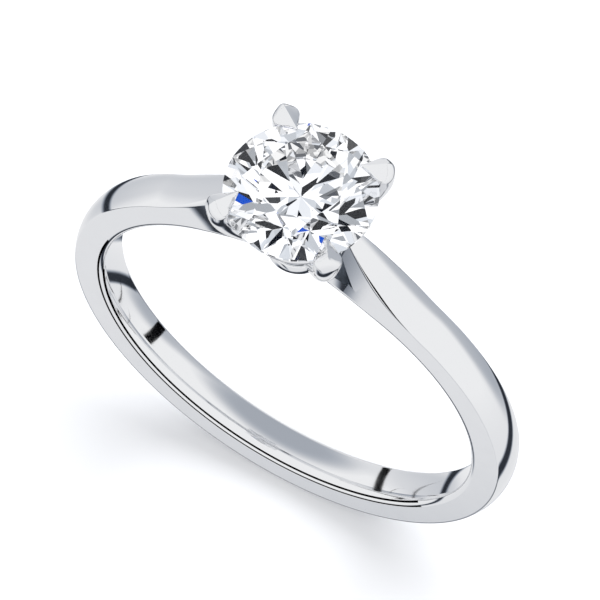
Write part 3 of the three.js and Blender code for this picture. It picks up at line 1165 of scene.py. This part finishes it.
def toward(azimuth, elevation):
    """A direction given by its compass angle from +X towards +Y, and its height."""
    turn, lift = math.radians(azimuth), math.radians(elevation)
    return Vector(
        (math.cos(turn) * math.cos(lift), math.sin(turn) * math.cos(lift), math.sin(lift))
    )


def make_world():
    world = bpy.data.worlds.new("white_tent")
    world.use_nodes = True
    tree = world.node_tree
    tree.nodes.clear()
    place = node(tree, "ShaderNodeTexCoord")
    look = place.outputs["Generated"]
    parts = node(tree, "ShaderNodeSeparateXYZ", {"Vector": look})

    def along(axis):
        dot = node(tree, "ShaderNodeVectorMath", {0: look, 1: axis}, operation="DOT_PRODUCT")
        return dot.outputs["Value"]

    def ramp(value, start, end, low=0.0, high=1.0):
        made = node(
            tree,
            "ShaderNodeMapRange",
            {"Value": value, "From Min": start, "From Max": end, "To Min": low, "To Max": high},
            interpolation_type="SMOOTHSTEP",
        )
        return made.outputs["Result"]

    def times(a, b):
        return node(tree, "ShaderNodeMath", {0: a, 1: b}, operation="MULTIPLY").outputs[0]

    def strip(axis, level, half, soft):
        """A dark band round the room: its axis, its place on it, half width and soft edge."""
        off = node(tree, "ShaderNodeMath", {0: along(axis), 1: level}, operation="SUBTRACT")
        size = node(tree, "ShaderNodeMath", {0: off.outputs[0]}, operation="ABSOLUTE")
        return ramp(size.outputs[0], half, half + soft, 1.0, 0.0)

    strip_right = times(
        strip(*STRIP_RIGHT),
        ramp(parts.outputs["X"], -0.45, -0.3),
    )
    strip_left = times(
        strip(*STRIP_LEFT),
        ramp(parts.outputs["X"], 0.0, -0.2),
    )

    def shade(tone, mask, depth):
        keep = node(tree, "ShaderNodeMath", {0: mask, 1: -depth}, operation="MULTIPLY")
        left = node(tree, "ShaderNodeMath", {0: keep.outputs[0], 1: 1.0}, operation="ADD")
        return times(tone, left.outputs[0])

    tone = ramp(parts.outputs["Z"], *ROOM_LIGHT)
    for azimuth, elevation, start, full, depth in SHADES:
        tone = shade(tone, ramp(along(toward(azimuth, elevation)), start, full), depth)
    tone = shade(tone, strip_right, STRIP_DEPTH)
    tone = shade(tone, strip_left, STRIP_DEPTH)
    room = node(tree, "ShaderNodeValToRGB", {"Fac": tone})
    room.color_ramp.elements[0].color = ROOM_BLACK
    for brightness, grey in ROOM_STOPS:
        room.color_ramp.elements.new(brightness).color = grey

    paths = node(tree, "ShaderNodeLightPath")
    seen = node(
        tree,
        "ShaderNodeMixRGB",
        {
            "Fac": paths.outputs["Is Transmission Ray"],
            "Color1": room.outputs["Color"],
            "Color2": make_fire(tree),
        },
    )
    white = node(
        tree,
        "ShaderNodeMixRGB",
        {
            "Fac": paths.outputs["Is Camera Ray"],
            "Color1": seen.outputs["Color"],
            "Color2": (1.0, 1.0, 1.0, 1.0),
        },
    )
    glow = node(tree, "ShaderNodeBackground", {"Color": white.outputs["Color"], "Strength": 1.0})
    node(tree, "ShaderNodeOutputWorld", {"Surface": glow.outputs["Background"]})
    bpy.context.scene.world = world


def make_fire(tree):
    """What the stone shows: bright lamps and dark gaps, as a jeweller's counter is lit."""
    look = node(tree, "ShaderNodeTexCoord").outputs["Generated"]
    turned = node(
        tree, "ShaderNodeVectorMath", {0: look, 1: FIRE_TURN}, operation="ADD"
    ).outputs["Vector"]
    lamps = node(
        tree, "ShaderNodeTexVoronoi", {"Vector": turned, "Scale": FIRE_SCALE, "Randomness": 1.0}
    )
    cell = node(tree, "ShaderNodeSeparateColor", {"Color": lamps.outputs["Color"]})
    haze = node(tree, "ShaderNodeTexNoise", {"Vector": look, "Scale": 5.0, "Detail": 2.0})
    soft = node(tree, "ShaderNodeMath", {0: haze.outputs["Fac"], 1: 0.45}, operation="SUBTRACT")
    level = node(
        tree, "ShaderNodeMath", {0: soft.outputs[0], 1: 0.9, 2: cell.outputs["Red"]},
        operation="MULTIPLY_ADD",
    )
    bright = node(tree, "ShaderNodeValToRGB", {"Fac": level.outputs[0]})
    bright.color_ramp.elements[0].position = 0.10
    bright.color_ramp.elements[0].color = (0.003, 0.005, 0.010, 1)
    bright.color_ramp.elements[1].position = 0.74
    bright.color_ramp.elements[1].color = (1.2, 1.2, 1.22, 1)
    for place_at, tone in FIRE_STOPS:
        stop = bright.color_ramp.elements.new(place_at)
        stop.color = (tone * 0.95, tone, tone * 1.07, 1)
    blue = node(
        tree, "ShaderNodeMath", {0: cell.outputs["Green"], 1: BLUE_SHARE}, operation="LESS_THAN"
    )
    seen = node(
        tree,
        "ShaderNodeMixRGB",
        {"Fac": blue.outputs[0], "Color1": bright.outputs["Color"], "Color2": FIRE_BLUE},
    )
    return seen.outputs["Color"]


make_world()
print("room:", bpy.context.scene.world.name)

# %% [markdown]
# ## The soft light
# One broad light from high behind the ring gives the soft shadow that lies towards the front.
# Mirrors and the stone don't see it, since the room already gives them all they show.

# %% Soft light
LIGHT_STRENGTH = 1.7
LIGHT_DEG = 50  # how broad it looks from the ring
LIGHT_FROM = Vector((0.17, 0.9, 1.5))


def make_soft_light():
    data = bpy.data.lights.new("soft_light", "SUN")
    data.energy = LIGHT_STRENGTH
    data.angle = math.radians(LIGHT_DEG)
    light = bpy.data.objects.new("soft_light", data)
    bpy.context.scene.collection.objects.link(light)
    light.rotation_euler = LIGHT_FROM.to_track_quat("Z", "Y").to_euler()
    light.visible_glossy = False
    light.visible_transmission = False
    return light


soft_light = make_soft_light()
print("light:", soft_light.name)

# %% [markdown]
# ## Black flags
# Small black cards hang just where their mirror image falls on the metal: two short patches on
# the polished hole, and dark lines along the rounded edges. The place of each card follows from
# the mirror law, so it is worked out here from the surface. A card that hangs close to the metal
# is small, and shows little from other sides. Only mirrors see the cards. They throw no shadow.

# %% The mirror law, and a card from it
TOP_LEAN = RAMP_DEG - 3  # the shoulder's top, where the line along its edge is seen

ramp_up = polar(1, 90 - TOP_LEAN)


def mirrored(point, normal, reach):
    """Where the mirror image seen at a point of the surface comes from."""
    sight = (camera.location / MM - point).normalized()
    normal = normal.normalized()
    return point + (2 * normal.dot(sight) * normal - sight) * reach


def on_hole(degrees, y):
    slope = 2 * COMFORT * y / HALF_W**2
    return polar(hole_at(y), degrees, y), polar(-1, degrees, slope)


def on_hole_edge(degrees, tilt):
    turn = math.radians(tilt)
    inner = Vector((0, -HALF_W + HOLE_ROUND, 0)) + polar(HOLE_R + COMFORT + HOLE_ROUND, degrees)
    normal = polar(-math.cos(turn), degrees, -math.sin(turn))
    return inner + normal * HOLE_ROUND, normal


def on_top_edge(degrees, tilt):
    half_top = halves_at(degrees)[1]
    turn = math.radians(tilt)
    corner = polar(top_at(degrees) - crown_drop(half_top), degrees)
    corner.y = -math.copysign(half_top, tilt)
    return corner, ramp_up * math.cos(turn) - Vector((0, math.sin(turn), 0))


def make_flag(name, rows, reach):
    bpy.ops.object.select_all(action="DESELECT")
    bpy.ops.mesh.primitive_grid_add(x_subdivisions=1, y_subdivisions=len(rows) - 1)
    flag = bpy.context.object
    flag.name = name
    spots = [mirrored(*spot, reach) for row in rows for spot in row]
    for vert, spot in zip(flag.data.vertices, spots):
        vert.co = spot * MM
    flag.data.materials.append(velvet)
    flag.visible_camera = False
    flag.visible_shadow = False
    flag.visible_diffuse = False
    flag.visible_transmission = False
    return flag


def black_velvet():
    material, tree = new_material("flag_black_velvet")
    place = node(tree, "ShaderNodeTexCoord")
    pile = node(
        tree,
        "ShaderNodeTexNoise",
        {"Vector": place.outputs["Object"], "Scale": 1 / (0.5 * MM)},
    )
    black = node(tree, "ShaderNodeValToRGB", {"Fac": pile.outputs["Fac"]})
    black.color_ramp.elements[0].color = colour("#050506")
    black.color_ramp.elements[1].color = colour("#0b0b0d")
    cloth = node(tree, "ShaderNodeBsdfDiffuse", {"Color": black.outputs["Color"]})
    node(tree, "ShaderNodeOutputMaterial", {"Surface": cloth.outputs["BSDF"]})
    return material


velvet = black_velvet()
print("finish:", velvet.name)

# %% [markdown]
# Each card is a strip of rows, and each row has two spots on the ring that mark where the dark
# reflection starts and ends. Angles are degrees round the finger hole, from the right side up.

# %% Hang the cards
HOLE_FLAGS = (  # name, angle at the front and at the back, half width, front end across the band
    ("flag_hole_left", 216.6, 218.8, 2.0, -0.3),
    ("flag_hole_right", 300.3, 298.1, 1.5, -0.5),
)
HOLE_BACK_Y = 0.84
HOLE_ROWS = 12
HOLE_REACH = 2.5  # how far off the metal the cards hang

FRONT_EDGE = (56, 76.5)  # where the line along the shoulder's front edge runs
FRONT_TILTS = (84, 40, 86)  # its lower limit at the ends and in the middle, its upper limit
FRONT_SWELL = 0.7
BACK_EDGE = (50, 77)
BACK_TILTS = (-38, -60)
EDGE_ROWS = 24
EDGE_REACH = 0.12

EDGE_LINES = (("flag_inner_line", 20, 36), ("flag_outer_line", 64, 84))
LINE_FROM, LINE_TO, LINE_STEP = 158, 318, 2
LINE_REACH = 0.2


def hang_hole_flags():
    for name, front_degrees, back_degrees, half, front_y in HOLE_FLAGS:
        rows = []
        for step in range(HOLE_ROWS + 1):
            share = step / HOLE_ROWS
            middle = lerp(front_degrees, back_degrees, share)
            y = lerp(front_y, HOLE_BACK_Y, share)
            rows.append((on_hole(middle - half, y), on_hole(middle + half, y)))
        make_flag(name, rows, HOLE_REACH)


def hang_shoulder_flags():
    end_tilt, middle_tilt, high_tilt = FRONT_TILTS
    front_rows, back_rows = [], []
    for step in range(EDGE_ROWS + 1):
        share = step / EDGE_ROWS
        degrees = lerp(*FRONT_EDGE, share)
        low_tilt = lerp(end_tilt, middle_tilt, math.sin(math.pi * share) ** FRONT_SWELL)
        front_rows.append((on_top_edge(degrees, low_tilt), on_top_edge(degrees, high_tilt)))
        degrees = lerp(*BACK_EDGE, share)
        back_rows.append(tuple(on_top_edge(degrees, tilt) for tilt in BACK_TILTS))
    make_flag("flag_front_edge", front_rows, EDGE_REACH)
    make_flag("flag_back_edge", back_rows, EDGE_REACH)


def hang_edge_lines():
    for name, low_tilt, high_tilt in EDGE_LINES:
        rows = []
        for degrees in steps_between(LINE_FROM, LINE_TO, LINE_STEP):
            rows.append((on_hole_edge(degrees, low_tilt), on_hole_edge(degrees, high_tilt)))
        make_flag(name, rows, LINE_REACH)


hang_hole_flags()
hang_shoulder_flags()
hang_edge_lines()
bpy.context.scene.view_settings.view_transform = "Standard"

# %% [markdown]
# ## Finish
# The view layer is brought up to date.

# %% Finish
bpy.context.view_layer.update()
